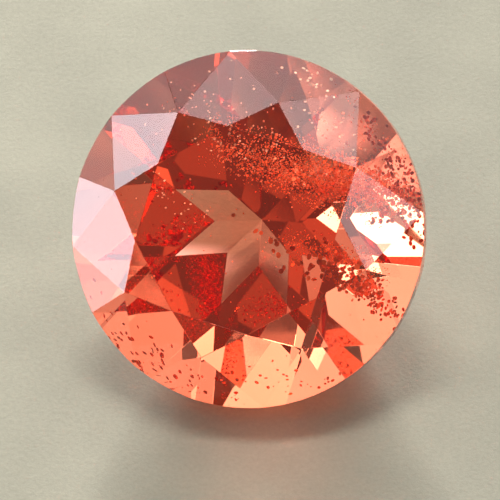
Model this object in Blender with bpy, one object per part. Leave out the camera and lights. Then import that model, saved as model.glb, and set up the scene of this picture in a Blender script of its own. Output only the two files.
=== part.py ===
"""A round faceted sunstone, lying on one main facet of its pavilion.

The stone is cut as a cutter would cut it. A round blank stands on the axis +Z, with
its girdle at height zero, and every facet is one straight cut. The finished stone
is then laid down on the ground, with its table facing -Y and upwards.
"""
import math

import bmesh
import bpy
from mathutils import Matrix, Vector

NODE = "sunstone"
MM = 0.001

# Girdle
GIRDLE_RADIUS = 4.0 * MM
GIRDLE_HALF_THICKNESS = 0.16 * MM
GIRDLE_SEGMENTS = 288

# Crown, turned a little against the pavilion as on a stone cut by hand
CROWN_MAIN_ANGLE = math.radians(35.1)
TABLE_RADIUS = 2.32 * MM
STAR_TIP_RADIUS = 2.96 * MM
CROWN_TURN = math.radians(6.25)

# Pavilion, whose axis leans, mostly away from the side that the stone lies on
PAVILION_MAIN_ANGLE = math.radians(47.0)
KITE_SHOULDER_RADIUS = 1.0 * MM
KITE_TIP_RADIUS = 1.97 * MM
PAVILION_LEAN = math.radians(2.6)
LEAN_INDEX = math.radians(114.0)

# Each tier has eight facets, counted from the side that the stone lies on
TIER_COUNT = 8
STEP = math.tau / TIER_COUNT
HALF_STEP = STEP / 2
FIRST_INDEX = -math.pi / 2
TABLE_NORMAL = Vector((0.0, 0.0, 1.0))

# The blank stands out above and below the finished stone
BLANK_HEIGHT = 12.0 * MM

# Corners closer together than this are one corner, and a cut is far sharper than that
MEET_DISTANCE = 0.002 * MM
CUT_TOLERANCE = MEET_DISTANCE / 4

# Clear salmon-red feldspar
BODY_COLOUR = (0.78, 0.24, 0.15, 1.0)
POLISH_ROUGHNESS = 0.02
REFRACTIVE_INDEX = 1.56
CLEARNESS = 0.8


def point_at(radius, index, height):
    """A point on the stone, from its distance to the axis, its angle and its height."""
    return Vector((radius * math.cos(index), radius * math.sin(index), height))


def main_climb(angle, radius, offset=0.0):
    """How far a main facet has climbed from the girdle, at a radius beside its middle."""
    return (GIRDLE_RADIUS - radius * math.cos(offset)) * math.tan(angle)


def facet_through(a, b, c):
    """The cut through three corners: a point on it and its normal, away from the axis."""
    normal = (b - a).cross(c - a).normalized()
    if normal.dot(a) < 0:
        normal.negate()
    return a, normal


def pavilion_lean():
    """The turn that takes the pavilion's tip off the stone's axis."""
    hinge = point_at(1.0, LEAN_INDEX - math.pi / 2, 0.0)
    return Matrix.Rotation(PAVILION_LEAN, 3, hinge)


def round_blank():
    """A cylinder that is tall enough for both halves of the stone."""
    blank = bmesh.new()
    bmesh.ops.create_cone(
        blank,
        cap_ends=True,
        segments=GIRDLE_SEGMENTS,
        radius1=GIRDLE_RADIUS,
        radius2=GIRDLE_RADIUS,
        depth=BLANK_HEIGHT,
    )
    return blank


def cut_facet(stone, corner, normal):
    """Take off all that stands outside a plane, and close the stone with a flat face."""
    cut = bmesh.ops.bisect_plane(
        stone,
        geom=stone.verts[:] + stone.edges[:] + stone.faces[:],
        dist=CUT_TOLERANCE,
        plane_co=corner,
        plane_no=normal,
        clear_outer=True,
    )
    rim = [part for part in cut["geom_cut"] if isinstance(part, bmesh.types.BMEdge)]
    rim = [edge for edge in rim if edge.is_boundary]
    if rim:
        bmesh.ops.edgeloop_fill(stone, edges=rim)


def cut_pavilion(stone):
    """Mains, the break facets between their outer ends, and the kites around the culet."""
    lean = pavilion_lean()
    shoulder_drop = main_climb(PAVILION_MAIN_ANGLE, KITE_SHOULDER_RADIUS)
    tip_drop = main_climb(PAVILION_MAIN_ANGLE, KITE_TIP_RADIUS, HALF_STEP)
    kite_run = KITE_TIP_RADIUS - KITE_SHOULDER_RADIUS * math.cos(HALF_STEP)
    main_slope = math.tan(PAVILION_MAIN_ANGLE)
    break_slope = tip_drop / (GIRDLE_RADIUS - KITE_TIP_RADIUS)
    kite_slope = (shoulder_drop - tip_drop) / kite_run
    tiers = (
        (0.0, main_slope, KITE_SHOULDER_RADIUS, shoulder_drop),
        (HALF_STEP, break_slope, KITE_TIP_RADIUS, tip_drop),
        (HALF_STEP, kite_slope, KITE_TIP_RADIUS, tip_drop),
    )
    for offset, slope, radius, drop in tiers:
        for number in range(TIER_COUNT):
            index = FIRST_INDEX + offset + number * STEP
            corner = point_at(radius, index, -GIRDLE_HALF_THICKNESS - drop)
            normal = point_at(slope, index, -1.0).normalized()
            cut_facet(stone, lean @ corner, lean @ normal)


def cut_crown(stone):
    """Mains, upper girdle facets, stars and the table."""
    start = FIRST_INDEX + CROWN_TURN
    table_height = GIRDLE_HALF_THICKNESS + main_climb(CROWN_MAIN_ANGLE, TABLE_RADIUS)
    star_climb = main_climb(CROWN_MAIN_ANGLE, STAR_TIP_RADIUS, HALF_STEP)
    star_height = GIRDLE_HALF_THICKNESS + star_climb
    mains = [start + number * STEP for number in range(TIER_COUNT)]
    for index in mains:
        normal = point_at(math.tan(CROWN_MAIN_ANGLE), index, 1.0).normalized()
        cut_facet(stone, point_at(GIRDLE_RADIUS, index, GIRDLE_HALF_THICKNESS), normal)
    for index in mains:
        star_tip = point_at(STAR_TIP_RADIUS, index + HALF_STEP, star_height)
        girdle_break = point_at(GIRDLE_RADIUS, index + HALF_STEP, GIRDLE_HALF_THICKNESS)
        for main in (index, index + STEP):
            main_tip = point_at(GIRDLE_RADIUS, main, GIRDLE_HALF_THICKNESS)
            cut_facet(stone, *facet_through(star_tip, main_tip, girdle_break))
    for index in mains:
        star_tip = point_at(STAR_TIP_RADIUS, index + HALF_STEP, star_height)
        left = point_at(TABLE_RADIUS, index, table_height)
        right = point_at(TABLE_RADIUS, index + STEP, table_height)
        cut_facet(stone, *facet_through(star_tip, left, right))
    cut_facet(stone, TABLE_NORMAL * table_height, TABLE_NORMAL)


def lay_down(stone):
    """Turn the stone onto its first pavilion main, over the middle of the ground."""
    outward = point_at(math.tan(PAVILION_MAIN_ANGLE), FIRST_INDEX, -1.0).normalized()
    up = -(pavilion_lean() @ outward)
    right = up.cross(TABLE_NORMAL).normalized()
    resting = Matrix((right, up.cross(right), up)).to_4x4()
    bmesh.ops.transform(stone, matrix=resting, verts=stone.verts)
    corners = [vert.co for vert in stone.verts]
    middle_x = (min(c.x for c in corners) + max(c.x for c in corners)) / 2
    middle_y = (min(c.y for c in corners) + max(c.y for c in corners)) / 2
    lowest = min(c.z for c in corners)
    bmesh.ops.translate(stone, vec=(-middle_x, -middle_y, -lowest), verts=stone.verts)


def feldspar():
    """Clear salmon-red feldspar with a vitreous polish."""
    material = bpy.data.materials.new("copper_feldspar")
    material.use_nodes = True
    shader = material.node_tree.nodes["Principled BSDF"]
    shader.inputs["Base Color"].default_value = BODY_COLOUR
    shader.inputs["Roughness"].default_value = POLISH_ROUGHNESS
    shader.inputs["Metallic"].default_value = 0.0
    shader.inputs["IOR"].default_value = REFRACTIVE_INDEX
    shader.inputs["Transmission Weight"].default_value = CLEARNESS
    material.diffuse_color = BODY_COLOUR
    return material


def build_sunstone():
    stone = round_blank()
    cut_pavilion(stone)
    cut_crown(stone)
    bmesh.ops.remove_doubles(stone, verts=stone.verts, dist=MEET_DISTANCE)
    bmesh.ops.dissolve_degenerate(stone, dist=MEET_DISTANCE, edges=stone.edges)
    lay_down(stone)
    bmesh.ops.recalc_face_normals(stone, faces=stone.faces)
    mesh = bpy.data.meshes.new(NODE)
    stone.to_mesh(mesh)
    stone.free()
    mesh.materials.append(feldspar())
    part = bpy.data.objects.new(NODE, mesh)
    bpy.context.collection.objects.link(part)
    return part


def main():
    for old in list(bpy.data.objects):
        bpy.data.objects.remove(old, do_unlink=True)
    build_sunstone()


main()
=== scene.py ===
"""Dresses a cut sunstone: clear red feldspar with copper platelets, lying on pale paper.

The file is laid out as a Blender add-on and is run as a script. The panel in the 3D
view's sidebar lists one operator for each piece and one for the stage.
"""
import math
from typing import NamedTuple

import bmesh
import bpy
from bpy.props import FloatProperty, FloatVectorProperty, IntProperty, PointerProperty
from mathutils import Matrix, Vector


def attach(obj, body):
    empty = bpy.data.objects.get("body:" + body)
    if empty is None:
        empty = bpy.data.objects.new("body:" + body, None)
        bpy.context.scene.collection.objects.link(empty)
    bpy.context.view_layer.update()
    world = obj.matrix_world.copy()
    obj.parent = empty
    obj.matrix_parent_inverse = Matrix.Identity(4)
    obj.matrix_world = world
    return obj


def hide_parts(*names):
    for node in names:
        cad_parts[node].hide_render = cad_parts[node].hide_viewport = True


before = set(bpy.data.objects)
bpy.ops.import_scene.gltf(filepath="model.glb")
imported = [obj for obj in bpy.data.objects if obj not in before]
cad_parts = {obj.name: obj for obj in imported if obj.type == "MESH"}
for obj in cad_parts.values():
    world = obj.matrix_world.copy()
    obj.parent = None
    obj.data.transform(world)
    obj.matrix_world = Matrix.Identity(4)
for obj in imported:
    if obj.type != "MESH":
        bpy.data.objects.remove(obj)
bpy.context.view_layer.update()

bl_info = {
    "name": "Cut Sunstone",
    "version": (1, 0, 0),
    "blender": (4, 5, 0),
    "location": "View3D > Sidebar > Sunstone",
    "description": "Builds a round brilliant-cut sunstone with copper platelets",
    "category": "Add Mesh",
}

MM = 0.001
NODE = "sunstone"

# The middle of the stone's girdle and the way its table faces, as it lies in the frame
GIRDLE_CENTRE = (0.0, -0.107 * MM, 3.034 * MM)
TABLE_NORMAL = (0.0, -0.7026, 0.7116)

# Corners closer than this are one corner, and faces this near to one plane are one facet
MEET_DISTANCE = 0.002 * MM
PLANE_DISTANCE = 0.0005 * MM
# Edges between facets are rounded, and those between the strips of the round girdle aren't
EDGE_ANGLE = math.radians(4.0)

# How many sides a flake has, and the least that its width is of its length
PLATELET_SIDES = 8
GRAIN_SIDES = 6
NARROWEST = 0.55
# Each band uses this many seeds, and the bands of one piece start this far apart
DRAWS = 7
SEED_STEP = 10

# How many blotches there are to a metre, in the polish, on the copper and in the paper
POLISH_MARKS = 1.2 / MM
COPPER_STAINS = 40.0 / MM
PAPER_CLOUDS = 0.35 / MM
# Most of a noise lies between these
NOISE_RANGE = (0.3, 0.7)

WHITE = (1.0, 1.0, 1.0, 1.0)
BLACK = (0.0, 0.0, 0.0, 1.0)
# Copper's colours from dark to pale. The dark one is partly painted shade, for flakes seen dark
# against bright light, and the pale gold one partly a painted glint
PAINTED_SHADE_COPPER = (0.22, 0.02, 0.012, 1.0)
RED_COPPER = (0.95, 0.20, 0.07, 1.0)
PAINTED_GLINT_COPPER = (1.0, 0.80, 0.58, 1.0)
# The tone at which copper is red, how far stains shift a flake's tone, and its roughness
RED_TONE = 0.45
STAIN_SHIFT = 0.3
COPPER_ROUGHNESS = (0.3, 0.55)

# The sheet of paper ends on the left, just outside the picture, and light shines in past
# it. That edge runs further to the left towards +Y, and the sheet's other sides are far off
PAPER_LEFT = -6.2 * MM
PAPER_SLANT = 0.184
PAPER_SPAN = 2.0
# It lies just clear of the stone, on a block that stands on a table top
PAPER_HEIGHT = -0.01 * MM
TABLE_TOP_HEIGHT = -120.0 * MM
PAPER_ROUGHNESS = 0.9
# Shares of the paper's colour where it is darkest and where it is palest
PAPER_SHADES = (0.84, 1.16)
# Painted shade: share of that colour kept under the stone, and how much of it each metre towards +X
# adds, so that the sheet darkens towards +X
PAINTED_SHADE_LEVEL = 0.9
PAINTED_SHADE_SLOPE = -0.0095 / MM
# A painted pool of light: a pale oval in the paper under the stone's back, which shows
# through the stone's right side. It is palest within a share of its reach and fades out from there
# to its rim
PAINTED_LIGHT_PLACE = (-1.75 * MM, 1.98 * MM)
PAINTED_LIGHT_REACH = (1.5 * MM, 0.85 * MM)
PAINTED_LIGHT_CORE = 0.25
PAINTED_LIGHT_COLOUR = (0.85, 0.87, 0.95, 1.0)

# The picture is square, and the girdle's middle stands here in it, from the top left corner
PICTURE_SIDE = 500
GIRDLE_PIXEL = (248.1, 229.4)
# No part of the room is darker than this
DARKEST_ROOM = 0.05


class StoneSettings(bpy.types.PropertyGroup):
    """The clear crystal."""

    edge_width: FloatProperty(
        name="Edge width",
        description="How wide polishing has rounded the edges between facets",
        default=0.025 * MM,
        unit="LENGTH",
    )
    roughest: FloatProperty(
        name="Roughest",
        description="Roughness where the polish is least",
        default=0.04,
    )
    refractive_index: FloatProperty(
        name="Refractive index",
        description="Bending of light in feldspar",
        default=1.56,
    )
    tint: FloatVectorProperty(
        name="Tint",
        description="Colour that the crystal leaves in light that crosses it",
        subtype="COLOR",
        default=(0.985, 0.34, 0.05),
    )
    tint_density: FloatProperty(
        name="Tint density",
        description="How fast the tint builds up, per metre of crystal",
        default=350.0,
    )


class PlateletSettings(bpy.types.PropertyGroup):
    """Copper platelets inside the crystal."""

    amount: FloatProperty(
        name="Amount",
        description="Share of the platelets that each band lists",
        default=1.0,
    )
    thinness: FloatProperty(
        name="Thinness",
        description="Thickness of a platelet, as a share of its radius",
        default=0.12,
    )
    margin: FloatProperty(
        name="Margin",
        description="How far inside the facets the platelets stay",
        default=0.06 * MM,
        unit="LENGTH",
    )
    seed: IntProperty(
        name="Seed",
        description="First number that the random places are drawn from",
        default=11,
    )


class StageSettings(bpy.types.PropertyGroup):
    """Paper, lights and camera."""

    camera_azimuth: FloatProperty(
        name="Camera azimuth",
        description="Turn of the camera round the stone, from the side its table faces",
        subtype="ANGLE",
        default=math.radians(14.85),
    )
    camera_elevation: FloatProperty(
        name="Camera elevation",
        description="Height of the camera above the paper, as an angle",
        subtype="ANGLE",
        default=math.radians(46.02),
    )
    camera_roll: FloatProperty(
        name="Camera roll",
        description="Turn of the camera about its own line of sight",
        subtype="ANGLE",
        default=math.radians(-8.74),
    )
    camera_distance: FloatProperty(
        name="Camera distance",
        description="From the lens to the middle of the girdle",
        unit="LENGTH",
        default=117.4 * MM,
    )
    view_width: FloatProperty(
        name="View width",
        description="Width that the picture covers at the girdle",
        unit="LENGTH",
        default=11.19 * MM,
    )
    paper_colour: FloatVectorProperty(
        name="Paper colour",
        description="Pale grey-green paper",
        subtype="COLOR",
        default=(0.218, 0.206, 0.152),
    )
    tooth_scale: FloatProperty(
        name="Tooth scale",
        description="How fine the paper's tooth is",
        default=9.0 / MM,
    )
    tooth_depth: FloatProperty(
        name="Tooth depth",
        description="How deep the paper's tooth is",
        default=0.012 * MM,
        unit="LENGTH",
    )
    room_light: FloatProperty(
        name="Room light",
        description="Brightness of the room on the average",
        default=0.15,
    )
    room_slope: FloatVectorProperty(
        name="Room slope",
        description="How much brighter the room is towards +X, +Y and +Z",
        default=(0.05, 0.0, 0.10),
    )


class NodeMaker:
    """Adds nodes to a tree and joins them up."""

    def __init__(self, tree):
        self.tree = tree

    def feed(self, node, sources):
        """Set a node's inputs to plain values, or join them to other nodes' sockets."""
        for name, source in sources.items():
            socket = node.inputs[name]
            if isinstance(source, bpy.types.NodeSocket):
                self.tree.links.new(source, socket)
            else:
                socket.default_value = source

    def add(self, kind, sources=None, **settings):
        """A new node with its settings and with what feeds its inputs."""
        node = self.tree.nodes.new(kind)
        for name, value in settings.items():
            setattr(node, name, value)
        self.feed(node, sources or {})
        return node

    def math(self, operation, *sources, **settings):
        """The result of a sum on numbers."""
        inputs = dict(enumerate(sources))
        return self.add("ShaderNodeMath", inputs, operation=operation, **settings).outputs[0]

    def vector(self, operation, *sources):
        """The result of a sum on vectors, which is one number for a product or a length."""
        inputs = dict(enumerate(sources))
        node = self.add("ShaderNodeVectorMath", inputs, operation=operation)
        return node.outputs["Value" if operation in ("DOT_PRODUCT", "LENGTH") else "Vector"]

    def noise(self, place, scale, detail=2.0, roughness=0.5):
        """Soft blotches, from dark to bright."""
        sources = {"Vector": place, "Scale": scale, "Detail": detail, "Roughness": roughness}
        return self.add("ShaderNodeTexNoise", sources).outputs["Fac"]

    def remap(self, value, given=(0.0, 1.0), wanted=(0.0, 1.0), **settings):
        """A number taken from one range to another, and kept within it."""
        sources = {
            "Value": value,
            "From Min": given[0],
            "From Max": given[1],
            "To Min": wanted[0],
            "To Max": wanted[1],
        }
        return self.add("ShaderNodeMapRange", sources, **settings).outputs["Result"]

    def mix(self, share, first, second):
        """A colour that goes from a first to a second as the share grows."""
        sources = {"Factor": share, "A": first, "B": second}
        return self.add("ShaderNodeMix", sources, data_type="RGBA").outputs["Result"]

    def random(self, kind, low, high, seed):
        """A random value for each flake."""
        # The node has sockets of its own for each kind: lowest, highest and result
        places = {"FLOAT": (2, 3, 1), "FLOAT_VECTOR": (0, 1, 0)}
        first, second, result = places[kind]
        sources = {first: low, second: high, "Seed": seed}
        return self.add("FunctionNodeRandomValue", sources, data_type=kind).outputs[result]


def link(name, data):
    """A new object in the scene."""
    piece = bpy.data.objects.new(name, data)
    bpy.context.scene.collection.objects.link(piece)
    return piece


def new_material(name):
    """A material, the maker of its nodes and its shader."""
    material = bpy.data.materials.new(name)
    material.use_nodes = True
    tree = material.node_tree
    return material, NodeMaker(tree), tree.nodes["Principled BSDF"]


def clear_feldspar(settings):
    """Polished crystal that tints light by the distance it travels inside."""
    material, make, shader = new_material("clear_feldspar")
    place = make.add("ShaderNodeTexCoord").outputs["Object"]
    marks = make.noise(place, POLISH_MARKS, detail=4.0)
    finish = {
        "Base Color": WHITE,
        "Metallic": 0.0,
        "Roughness": make.remap(marks, NOISE_RANGE, (0.0, settings.roughest)),
        "IOR": settings.refractive_index,
        "Transmission Weight": 1.0,
    }
    make.feed(shader, finish)
    tint = make.add(
        "ShaderNodeVolumeAbsorption",
        {"Color": (*settings.tint, 1.0), "Density": settings.tint_density},
    )
    make.feed(material.node_tree.nodes["Material Output"], {"Volume": tint.outputs["Volume"]})
    return material


def copper():
    """Native copper, from dark red to pale gold by each flake's tone. The dark end is partly
    painted shade and the pale gold end partly a painted glint.
    """
    material, make, shader = new_material("native_copper")
    place = make.add("ShaderNodeTexCoord").outputs["Object"]
    stain = make.noise(place, COPPER_STAINS)
    tone_with_painted_light = make.add("ShaderNodeAttribute", attribute_name="tone").outputs["Fac"]
    shift = make.math("SUBTRACT", stain, sum(NOISE_RANGE) / 2)
    tone = make.math("MULTIPLY_ADD", shift, STAIN_SHIFT, tone_with_painted_light)
    # The ramp's dark end is painted shade and its pale gold end a painted glint, with red copper
    # between
    ramp = make.add("ShaderNodeValToRGB", {"Fac": tone})
    colours = ramp.color_ramp.elements
    colours[0].color = PAINTED_SHADE_COPPER
    colours[1].color = PAINTED_GLINT_COPPER
    colours.new(RED_TONE).color = RED_COPPER
    finish = {
        "Base Color": ramp.outputs["Color"],
        "Metallic": 1.0,
        "Roughness": make.remap(stain, wanted=COPPER_ROUGHNESS),
    }
    make.feed(shader, finish)
    return material


def paper(settings):
    """Matt paper with a fine tooth and soft clouds, a painted shade that darkens it towards +X and
    a painted pool of light, a pale oval under the stone's back.
    """
    material, make, shader = new_material("paper")
    place = make.add("ShaderNodeTexCoord").outputs["Object"]
    tooth = make.noise(place, settings.tooth_scale, detail=6.0, roughness=0.7)
    clouds = make.noise(place, PAPER_CLOUDS)
    both = make.math("ADD", tooth, clouds)
    mask = make.remap(both, [2 * end for end in NOISE_RANGE])
    dark, light = ([share * part for part in settings.paper_colour] for share in PAPER_SHADES)
    shaded = make.mix(mask, (*dark, 1.0), (*light, 1.0))

    # Painted shade: the sheet is a little darker towards +X
    slope = make.vector("DOT_PRODUCT", place, (PAINTED_SHADE_SLOPE, 0.0, 0.0))
    level = make.math("ADD", slope, PAINTED_SHADE_LEVEL, use_clamp=True)
    painted_shade_paper = make.mix(level, BLACK, shaded)

    # How far out in the painted pool of light a point lies, from nought at its middle to one at its
    # rim
    aside = make.vector("SUBTRACT", place, (*PAINTED_LIGHT_PLACE, 0.0))
    squeezed = make.vector("MULTIPLY", aside, (1 / PAINTED_LIGHT_REACH[0], 1 / PAINTED_LIGHT_REACH[1], 0.0))
    away = make.vector("LENGTH", squeezed)
    painted_light_share = make.remap(away, (1.0, PAINTED_LIGHT_CORE), interpolation_type="SMOOTHSTEP")
    bump = make.add("ShaderNodeBump", {"Distance": settings.tooth_depth, "Height": tooth})
    # The paper's colour carries the painted shade and, over it, the painted pool of light
    finish = {
        "Base Color": make.mix(painted_light_share, painted_shade_paper, PAINTED_LIGHT_COLOUR),
        "Roughness": PAPER_ROUGHNESS,
        "Normal": bump.outputs["Normal"],
    }
    make.feed(shader, finish)
    return material


def facet_faces(start, free):
    """The faces that share a plane with a first face and hang together with it."""
    middle, normal = start.calc_center_median(), start.normal
    free.remove(start)
    found, waiting = [start], [start]
    while waiting:
        for edge in waiting.pop().edges:
            for face in edge.link_faces:
                if face not in free:
                    continue
                if all(abs((vert.co - middle).dot(normal)) < PLANE_DISTANCE for vert in face.verts):
                    free.remove(face)
                    found.append(face)
                    waiting.append(face)
    return found


def whole_facets(stone):
    """Join the triangles of each facet, the largest first, into one flat face."""
    largest_first = sorted(stone.faces, key=lambda face: -face.calc_area())
    free = set(largest_first)
    facets = [facet_faces(face, free) for face in largest_first if face in free]
    for faces in facets:
        if len(faces) > 1:
            bmesh.ops.dissolve_faces(stone, faces=faces, use_verts=True)


def crystal_mesh(settings):
    """The frame's stone with whole flat facets and edges that polishing has rounded."""
    stone = bmesh.new()
    stone.from_mesh(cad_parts[NODE].data)
    bmesh.ops.remove_doubles(stone, verts=stone.verts, dist=MEET_DISTANCE)
    whole_facets(stone)
    sharp = [edge for edge in stone.edges if edge.calc_face_angle(0.0) > EDGE_ANGLE]
    bmesh.ops.bevel(
        stone,
        geom=sharp,
        offset=settings.edge_width / 2,
        offset_type="OFFSET",
        segments=2,
        profile=0.5,
        affect="EDGES",
        clamp_overlap=True,
    )
    for face in stone.faces:
        face.smooth = False
    mesh = bpy.data.meshes.new("crystal")
    stone.to_mesh(mesh)
    stone.free()
    return mesh


class SUNSTONE_OT_crystal(bpy.types.Operator):
    """Cut crystal, from the frame's own facets with softened edges"""

    bl_idname = "sunstone.crystal"
    bl_label = "Cut Crystal"

    def execute(self, context):
        settings = context.scene.sunstone_stone
        mesh = crystal_mesh(settings)
        mesh.materials.append(clear_feldspar(settings))
        piece = link("crystal", mesh)
        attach(piece, "root")
        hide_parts(NODE)
        return {"FINISHED"}


BAND_INPUTS = (
    ("Geometry", "NodeSocketGeometry"),
    ("Crystal", "NodeSocketObject"),
    ("Sides", "NodeSocketInt"),
    ("Count", "NodeSocketInt"),
    ("Centre", "NodeSocketVector"),
    ("Turn", "NodeSocketVector"),
    ("Reach", "NodeSocketVector"),
    ("Smallest", "NodeSocketFloat"),
    ("Largest", "NodeSocketFloat"),
    ("Facing", "NodeSocketVector"),
    ("Wobble", "NodeSocketFloat"),
    ("Darkest", "NodeSocketFloat"),
    ("Brightest", "NodeSocketFloat"),
    ("Thinness", "NodeSocketFloat"),
    ("Margin", "NodeSocketFloat"),
    ("Seed", "NodeSocketInt"),
    ("Material", "NodeSocketMaterial"),
)


def band_tree():
    """Strews flat flakes through a band of the crystal and keeps those inside it."""
    tree = bpy.data.node_groups.new("platelet band", "GeometryNodeTree")
    for name, kind in BAND_INPUTS:
        tree.interface.new_socket(name, in_out="INPUT", socket_type=kind)
    tree.interface.new_socket("Geometry", in_out="OUTPUT", socket_type="NodeSocketGeometry")
    make = NodeMaker(tree)
    given = make.add("NodeGroupInput").outputs
    seeds = [make.math("ADD", given["Seed"], float(number)) for number in range(DRAWS)]
    low, high = (-1.0, -1.0, -1.0), (1.0, 1.0, 1.0)

    # Two draws are added, so a band is dense in its middle and ends at twice its reach
    first = make.random("FLOAT_VECTOR", low, high, seeds[0])
    second = make.random("FLOAT_VECTOR", low, high, seeds[1])
    spread = make.vector("MULTIPLY", make.vector("ADD", first, second), given["Reach"])
    turned = make.add(
        "ShaderNodeVectorRotate",
        {"Vector": spread, "Rotation": given["Turn"]},
        rotation_type="EULER_XYZ",
    )
    place = make.vector("ADD", turned.outputs["Vector"], given["Centre"])
    points = make.add("GeometryNodePoints", {"Count": given["Count"], "Position": place})

    # A point is inside the crystal where a straight line meets it both ways
    crystal = make.add("GeometryNodeObjectInfo", {"Object": given["Crystal"]}).outputs["Geometry"]
    hits = []
    for way in ((0.0, 0.0, 1.0), (0.0, 0.0, -1.0)):
        ray = make.add("GeometryNodeRaycast", {"Target Geometry": crystal, "Ray Direction": way})
        hits.append(ray.outputs["Is Hit"])
    near = make.add("GeometryNodeProximity", {0: crystal}, target_element="FACES")
    deep = make.math("GREATER_THAN", near.outputs["Distance"], given["Margin"])
    kept = make.math("MULTIPLY", make.math("MULTIPLY", hits[0], hits[1]), deep)
    dropped = make.math("SUBTRACT", 1.0, kept)
    inside = make.add(
        "GeometryNodeDeleteGeometry",
        {"Geometry": points.outputs["Geometry"], "Selection": dropped},
    )

    # Each flake has its own size, shape and lie
    disc = make.add(
        "GeometryNodeMeshCylinder",
        {"Vertices": given["Sides"], "Radius": 1.0, "Depth": given["Thinness"]},
    )
    flat = make.add(
        "GeometryNodeSetShadeSmooth",
        {"Geometry": disc.outputs["Mesh"], "Shade Smooth": False},
    )
    size = make.random("FLOAT", given["Smallest"], given["Largest"], seeds[2])
    narrow = make.random("FLOAT", NARROWEST, 1.0, seeds[3])
    width = make.math("MULTIPLY", size, narrow)
    shape = make.add("ShaderNodeCombineXYZ", {"X": width, "Y": size, "Z": size})
    shake = make.random("FLOAT_VECTOR", low, high, seeds[4])
    shaken = make.add(
        "ShaderNodeVectorMath",
        {0: shake, "Scale": given["Wobble"]},
        operation="SCALE",
    )
    lie = make.vector("ADD", given["Facing"], shaken.outputs["Vector"])
    aligned = make.add("FunctionNodeAlignRotationToVector", {"Vector": lie}, axis="Z")
    spin = make.add("ShaderNodeCombineXYZ", {"Z": make.random("FLOAT", 0.0, math.tau, seeds[5])})
    spun = make.add("FunctionNodeEulerToRotation", {"Euler": spin.outputs["Vector"]})
    rotation = make.add(
        "FunctionNodeRotateRotation",
        {"Rotation": aligned.outputs["Rotation"], "Rotate By": spun.outputs["Rotation"]},
        rotation_space="LOCAL",
    )
    strewn = make.add(
        "GeometryNodeInstanceOnPoints",
        {
            "Points": inside.outputs["Geometry"],
            "Instance": flat.outputs["Geometry"],
            "Rotation": rotation.outputs["Rotation"],
            "Scale": shape.outputs["Vector"],
        },
    )
    tone = make.add(
        "GeometryNodeStoreNamedAttribute",
        {
            "Geometry": strewn.outputs["Instances"],
            "Name": "tone",
            "Value": make.random("FLOAT", given["Darkest"], given["Brightest"], seeds[6]),
        },
        data_type="FLOAT",
        domain="INSTANCE",
    )
    joined = make.add("GeometryNodeJoinGeometry")
    tree.links.new(tone.outputs["Geometry"], joined.inputs["Geometry"])
    tree.links.new(given["Geometry"], joined.inputs["Geometry"])
    real = make.add("GeometryNodeRealizeInstances", {"Geometry": joined.outputs["Geometry"]})
    dressed = make.add(
        "GeometryNodeSetMaterial",
        {"Geometry": real.outputs["Geometry"], "Material": given["Material"]},
    )
    make.add("NodeGroupOutput", {"Geometry": dressed.outputs["Geometry"]})
    return tree


class Band(NamedTuple):
    """Flakes that lie in one band of the crystal.

    Its centre and its reach are in millimetres in the stone's own frame, which starts at the
    middle of the girdle: x runs to the right, y up in the table's plane and z out of the
    table. The band is turned in that plane, by degrees. The radius and the tone of a flake
    lie between two values each, and a tone goes from dark at nought to pale at one: the dark
    end is partly painted shade and the pale end partly a painted glint. A flake faces one way,
    and wobble is how far it may stray from that.
    """

    name: str
    count: int
    centre: tuple
    turn: float
    reach: tuple
    radius: tuple
    facing: tuple
    wobble: float
    tone: tuple


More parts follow.
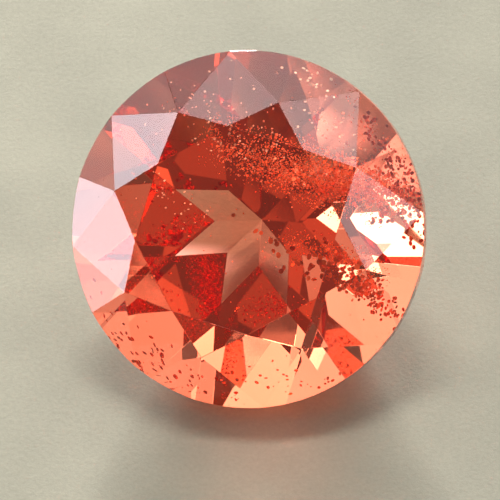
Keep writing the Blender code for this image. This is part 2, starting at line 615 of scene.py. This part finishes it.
PLATELET_BANDS = (
    Band(
        "upper cloud", 200, centre=(1.0, 1.28, -0.3), turn=-20, reach=(1.2, 0.28, 0.35),
        radius=(0.020, 0.038), facing=(0.1, 0.3, 1.0), wobble=0.5, tone=(0.30, 0.62),
    ),
    Band(
        "upper grains", 60, centre=(0.0, 1.95, 0.55), turn=-14, reach=(1.7, 0.30, 0.20),
        radius=(0.018, 0.032), facing=(0.1, 0.4, 1.0), wobble=0.5, tone=(0.60, 0.95),
    ),
    Band(
        "right streaks", 260, centre=(2.45, 1.02, -0.2), turn=-14, reach=(0.75, 0.22, 0.25),
        radius=(0.030, 0.058), facing=(0.12, 0.5, 0.85), wobble=0.35, tone=(0.36, 0.6),
    ),
    Band(
        "right rim", 150, centre=(3.3, 1.30, -0.1), turn=-58, reach=(0.95, 0.24, 0.12),
        radius=(0.030, 0.062), facing=(0.0, 0.0, 1.0), wobble=0.5, tone=(0.05, 0.3),
    ),
    Band(
        "right large", 40, centre=(3.05, 0.35, -0.1), turn=-20, reach=(0.55, 0.40, 0.15),
        radius=(0.045, 0.080), facing=(0.0, 0.0, 1.0), wobble=0.5, tone=(0.10, 0.35),
    ),
    Band(
        "window discs", 10, centre=(0.6, -0.22, 0.35), turn=-25, reach=(0.55, 0.12, 0.10),
        radius=(0.045, 0.075), facing=(0.0, 0.0, 1.0), wobble=0.3, tone=(0.15, 0.4),
    ),
    Band(
        "table discs", 46, centre=(1.75, -0.8, 0.30), turn=-15, reach=(0.75, 0.20, 0.12),
        radius=(0.050, 0.080), facing=(0.0, 0.0, 1.0), wobble=0.35, tone=(0.1, 0.4),
    ),
    Band(
        "right cluster", 150, centre=(2.6, -1.15, -0.1), turn=-40, reach=(0.65, 0.20, 0.18),
        radius=(0.030, 0.060), facing=(0.0, 0.0, 1.0), wobble=0.5, tone=(0.15, 0.5),
    ),
    Band(
        "low left", 60, centre=(-2.05, -2.6, -0.5), turn=-36, reach=(1.4, 0.45, 0.20),
        radius=(0.045, 0.080), facing=(0.7, 0.3, 0.7), wobble=0.3, tone=(0.15, 0.35),
    ),
    Band(
        "low middle", 26, centre=(0.3, -3.1, -0.3), turn=5, reach=(1.2, 0.35, 0.20),
        radius=(0.030, 0.055), facing=(0.3, 0.3, 0.8), wobble=0.4, tone=(0.3, 0.5),
    ),
    Band(
        "top sparkles", 80, centre=(-0.7, 2.55, 0.35), turn=-8, reach=(1.8, 0.60, 0.20),
        radius=(0.018, 0.034), facing=(0.0, 0.6, 0.8), wobble=0.5, tone=(0.8, 1.0),
    ),
    Band(
        "bright sparkles", 18, centre=(1.2, 3.3, -0.1), turn=-10, reach=(0.4, 0.16, 0.10),
        radius=(0.028, 0.050), facing=(0.0, 0.6, 0.8), wobble=0.4, tone=(0.9, 1.0),
    ),
    Band(
        "upper right", 40, centre=(2.1, 2.2, 0.1), turn=-40, reach=(0.7, 0.35, 0.20),
        radius=(0.020, 0.042), facing=(0.0, 0.5, 0.9), wobble=0.6, tone=(0.4, 0.95),
    ),
    Band(
        "left dashes", 34, centre=(-1.6, 0.55, 0.5), turn=-30, reach=(0.6, 0.25, 0.20),
        radius=(0.018, 0.034), facing=(0.0, 0.5, 0.9), wobble=0.5, tone=(0.6, 0.9),
    ),
    Band(
        "stray", 90, centre=(0.0, 0.0, -0.6), turn=0, reach=(2.0, 2.0, 0.80),
        radius=(0.014, 0.028), facing=(0.0, 0.2, 1.0), wobble=0.8, tone=(0.3, 0.7),
    ),
)
GRAIN_BANDS = (
    Band(
        "upper grain", 3000, centre=(1.1, 1.22, -0.2), turn=-20, reach=(1.15, 0.30, 0.40),
        radius=(0.008, 0.021), facing=(0.1, 0.3, 1.0), wobble=0.5, tone=(0.36, 0.62),
    ),
    Band(
        "streak grain", 2000, centre=(2.35, 1.02, -0.2), turn=-15, reach=(0.80, 0.22, 0.30),
        radius=(0.009, 0.024), facing=(0.2, 0.3, 1.0), wobble=0.5, tone=(0.36, 0.6),
    ),
    Band(
        "haze grain", 500, centre=(1.8, -0.45, -0.3), turn=-20, reach=(0.70, 0.16, 0.25),
        radius=(0.009, 0.022), facing=(0.2, 0.3, 1.0), wobble=0.5, tone=(0.30, 0.55),
    ),
    Band(
        "rim grain", 160, centre=(3.1, 1.6, -0.1), turn=-55, reach=(1.1, 0.26, 0.12),
        radius=(0.012, 0.026), facing=(0.0, 0.0, 1.0), wobble=0.6, tone=(0.1, 0.4),
    ),
)


def stone_frame():
    """From the stone's own frame in millimetres to the place it lies in."""
    out = Vector(TABLE_NORMAL).normalized()
    right = Vector((1.0, 0.0, 0.0))
    axes = Matrix((right, out.cross(right), out)).transposed()
    return Matrix.Translation(GIRDLE_CENTRE) @ axes.to_4x4() @ Matrix.Scale(MM, 4)


def add_band(piece, tree, band, values):
    """One band of flakes as a modifier, set by the sockets' identifiers."""
    place = stone_frame()
    axes = place.to_3x3().normalized()
    turn = Matrix.Rotation(math.radians(band.turn), 3, "Z")
    values = {
        **values,
        "Centre": place @ Vector(band.centre),
        "Turn": (axes @ turn).to_euler(),
        "Reach": Vector(band.reach) * MM,
        "Smallest": band.radius[0] * MM,
        "Largest": band.radius[1] * MM,
        "Facing": axes @ Vector(band.facing).normalized(),
        "Wobble": band.wobble,
        "Darkest": band.tone[0],
        "Brightest": band.tone[1],
    }
    modifier = piece.modifiers.new(band.name, "NODES")
    modifier.node_group = tree
    for item in tree.interface.items_tree:
        if item.name in values and item.in_out == "INPUT":
            modifier[item.identifier] = values[item.name]


def strew(context, name, bands, sides):
    """Make one piece of the bands in a table and turn it into a plain mesh."""
    settings = context.scene.sunstone_platelets
    piece = link(name, bpy.data.meshes.new(name))
    tree = band_tree()
    values = {
        "Crystal": context.scene.objects["crystal"],
        "Sides": sides,
        "Thinness": settings.thinness,
        "Margin": settings.margin,
        "Material": copper(),
    }
    for number, band in enumerate(bands):
        values["Count"] = round(band.count * settings.amount)
        values["Seed"] = settings.seed + SEED_STEP * number
        add_band(piece, tree, band, values)
    made = piece.evaluated_get(context.evaluated_depsgraph_get())
    mesh = bpy.data.meshes.new_from_object(made)
    piece.modifiers.clear()
    piece.data = mesh
    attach(piece, "root")


class SUNSTONE_OT_platelets(bpy.types.Operator):
    """Copper platelets in bands through the crystal, by Geometry Nodes"""

    bl_idname = "sunstone.platelets"
    bl_label = "Copper Platelets"

    def execute(self, context):
        strew(context, "platelets", PLATELET_BANDS, PLATELET_SIDES)
        return {"FINISHED"}


class SUNSTONE_OT_grains(bpy.types.Operator):
    """Fine copper grain that clouds the crystal between the platelets"""

    bl_idname = "sunstone.grains"
    bl_label = "Copper Grain"

    def execute(self, context):
        strew(context, "grains", GRAIN_BANDS, GRAIN_SIDES)
        return {"FINISHED"}


def direction(azimuth, elevation):
    """Towards a place round the stone: azimuth 0 is -Y, and 90 degrees is +X."""
    flat = math.cos(elevation)
    return Vector((math.sin(azimuth) * flat, -math.cos(azimuth) * flat, math.sin(elevation)))


DAYLIGHT = (0.96, 0.97, 1.07)
NEUTRAL = (1.0, 1.0, 1.0)
SOFTBOXES = (
    # name, azimuth, elevation, width and height as angles, distance in metres, brightness, colour
    ("left window", 275.0, -0.7, 34.0, 22.4, 0.30, 8.8, DAYLIGHT),
    ("left window sill", 275.0, -15.4, 34.0, 7.0, 0.30, 4.2, DAYLIGHT),
    ("left window side", 299.0, 4.0, 13.0, 14.0, 0.30, 1.4, DAYLIGHT),
    ("left high card", 277.0, 34.0, 22.0, 38.0, 0.32, 0.9, NEUTRAL),
    ("left upper card", 256.5, 27.0, 13.0, 16.0, 0.28, 6.6, DAYLIGHT),
    ("left wall", 247.0, 18.0, 18.0, 42.0, 0.32, 2.0, NEUTRAL),
    ("back lamp", 186.0, 53.0, 42.0, 15.0, 0.35, 2.9, NEUTRAL),
    ("back upper card", 215.0, 60.0, 14.0, 9.0, 0.34, 4.2, NEUTRAL),
    ("high back lamp", 191.0, 66.0, 21.0, 5.0, 0.36, 82.0, NEUTRAL),
    ("back high card", 176.0, 68.0, 8.0, 7.0, 0.36, 2.0, NEUTRAL),
    ("low back lamp", 191.0, 16.0, 5.0, 24.0, 0.36, 230.0, NEUTRAL),
    ("back low card", 209.0, 37.0, 21.0, 18.0, 0.34, 1.9, NEUTRAL),
    ("back right wall", 130.0, 42.0, 46.0, 19.0, 0.34, 1.12, NEUTRAL),
    ("back right card", 121.0, 59.0, 15.0, 12.0, 0.32, 4.6, NEUTRAL),
    ("right low card", 115.0, 18.0, 12.0, 18.0, 0.34, 0.9, NEUTRAL),
    ("right middle card", 98.0, 20.0, 24.0, 34.0, 0.34, 0.65, NEUTRAL),
    ("right wall", 76.5, 22.5, 19.0, 29.0, 0.34, 1.3, NEUTRAL),
    ("right card", 79.0, 24.0, 20.0, 12.0, 0.32, 2.5, NEUTRAL),
    ("right upper card", 80.0, 49.0, 14.0, 12.0, 0.32, 1.2, NEUTRAL),
    ("right foot card", 86.0, 4.0, 16.0, 8.0, 0.34, 0.5, NEUTRAL),
    ("right dim card", 61.0, 12.0, 9.0, 8.0, 0.34, 0.4, NEUTRAL),
    ("right small card", 60.0, 28.5, 5.0, 5.0, 0.34, 1.6, NEUTRAL),
    ("front card", 351.0, 35.0, 20.0, 13.0, 0.40, 0.28, NEUTRAL),
    ("front low card", 338.0, 11.0, 24.0, 12.0, 0.40, 1.0, NEUTRAL),
    ("front high card", 5.0, 68.0, 30.0, 14.0, 0.40, 0.45, NEUTRAL),
    ("ceiling", 200.0, 80.0, 30.0, 18.0, 0.40, 0.9, NEUTRAL),
)


def softbox(name, azimuth, elevation, width, height, distance, brightness, colour):
    """A flat lamp that faces the stone and looks evenly bright from there."""
    away = direction(math.radians(azimuth), math.radians(elevation))
    lamp = bpy.data.lights.new(name, "AREA")
    lamp.shape = "RECTANGLE"
    lamp.size = 2 * distance * math.tan(math.radians(width) / 2)
    lamp.size_y = 2 * distance * math.tan(math.radians(height) / 2)
    lamp.energy = math.pi * lamp.size * lamp.size_y * brightness
    lamp.color = colour
    holder = link(name, lamp)
    holder.location = away * distance
    holder.rotation_mode = "QUATERNION"
    holder.rotation_quaternion = away.to_track_quat("Z", "Y")
    holder.visible_camera = False


def level_sheet(left, height):
    """Corners of a flat sheet that reaches far on all sides but the left."""
    slant = PAPER_SPAN * PAPER_SLANT
    return [
        (left + slant, -PAPER_SPAN, height),
        (PAPER_SPAN, -PAPER_SPAN, height),
        (PAPER_SPAN, PAPER_SPAN, height),
        (left - slant, PAPER_SPAN, height),
    ]


def lay(name, corners, material):
    """A flat sheet with four corners, which isn't part of the stone."""
    mesh = bpy.data.meshes.new(name)
    mesh.from_pydata(corners, [], [(0, 1, 2, 3)])
    mesh.materials.append(material)
    link(name, mesh)


def ground(settings):
    """The paper, the left side of the block that it lies on and the table top below."""
    material = paper(settings)
    sheet = level_sheet(PAPER_LEFT, PAPER_HEIGHT)
    foot = level_sheet(PAPER_LEFT, TABLE_TOP_HEIGHT)
    lay("paper", sheet, material)
    lay("block side", [sheet[0], sheet[3], foot[3], foot[0]], material)
    lay("table top", level_sheet(-PAPER_SPAN, TABLE_TOP_HEIGHT), material)


def room(settings):
    """A room that grows brighter to one side, with no edges to mirror."""
    world = bpy.data.worlds.new("room")
    world.use_nodes = True
    make = NodeMaker(world.node_tree)
    place = make.add("ShaderNodeTexCoord").outputs["Generated"]
    slope = make.vector("DOT_PRODUCT", place, settings.room_slope)
    level = make.math("ADD", slope, settings.room_light)
    strength = make.math("MAXIMUM", level, DARKEST_ROOM)
    make.feed(world.node_tree.nodes["Background"], {"Color": WHITE, "Strength": strength})
    return world


def camera(settings):
    """Looks at the girdle's middle, which stands a little above the picture's."""
    azimuth = settings.camera_azimuth
    back = direction(azimuth, settings.camera_elevation)
    level = Vector((math.cos(azimuth), math.sin(azimuth), 0.0))
    right = Matrix.Rotation(settings.camera_roll, 3, back) @ level
    up = back.cross(right)
    pixel = settings.view_width / PICTURE_SIDE
    across = PICTURE_SIDE / 2 - GIRDLE_PIXEL[0]
    down = PICTURE_SIDE / 2 - GIRDLE_PIXEL[1]
    aim = Vector(GIRDLE_CENTRE) + (right * across - up * down) * pixel
    lens = bpy.data.cameras.new("camera")
    lens.lens = lens.sensor_width * settings.camera_distance / settings.view_width
    lens.clip_start = 1.0 * MM
    holder = link("camera", lens)
    axes = Matrix((right, up, back)).transposed().to_4x4()
    holder.matrix_world = Matrix.Translation(aim + back * settings.camera_distance) @ axes
    return holder


class SUNSTONE_OT_stage(bpy.types.Operator):
    """Paper, soft lights and the camera"""

    bl_idname = "sunstone.stage"
    bl_label = "Stage"

    def execute(self, context):
        scene = context.scene
        settings = scene.sunstone_stage
        ground(settings)
        for box in SOFTBOXES:
            softbox(*box)
        scene.world = room(settings)
        scene.camera = camera(settings)
        scene.view_settings.view_transform = "Standard"
        # Light crosses a clear stone many times before it leaves
        scene.cycles.max_bounces = 32
        scene.cycles.transmission_bounces = 32
        scene.cycles.glossy_bounces = 16
        scene.cycles.diffuse_bounces = 4
        return {"FINISHED"}


class SUNSTONE_PT_panel(bpy.types.Panel):
    """Sunstone tools"""

    bl_idname = "SUNSTONE_PT_panel"
    bl_label = "Sunstone"
    bl_space_type = "VIEW_3D"
    bl_region_type = "UI"
    bl_category = "Sunstone"

    def draw(self, context):
        for name in OPERATORS:
            self.layout.operator(name)


OPERATORS = ("sunstone.crystal", "sunstone.platelets", "sunstone.grains", "sunstone.stage")
CLASSES = (
    StoneSettings,
    PlateletSettings,
    StageSettings,
    SUNSTONE_OT_crystal,
    SUNSTONE_OT_platelets,
    SUNSTONE_OT_grains,
    SUNSTONE_OT_stage,
    SUNSTONE_PT_panel,
)


def register():
    for cls in CLASSES:
        bpy.utils.register_class(cls)
    bpy.types.Scene.sunstone_stone = PointerProperty(type=StoneSettings)
    bpy.types.Scene.sunstone_platelets = PointerProperty(type=PlateletSettings)
    bpy.types.Scene.sunstone_stage = PointerProperty(type=StageSettings)


def unregister():
    del bpy.types.Scene.sunstone_stage
    del bpy.types.Scene.sunstone_platelets
    del bpy.types.Scene.sunstone_stone
    for cls in reversed(CLASSES):
        bpy.utils.unregister_class(cls)


def main():
    register()
    bpy.ops.sunstone.crystal()
    bpy.ops.sunstone.platelets()
    bpy.ops.sunstone.grains()
    bpy.ops.sunstone.stage()


if __name__ == "__main__":
    main()
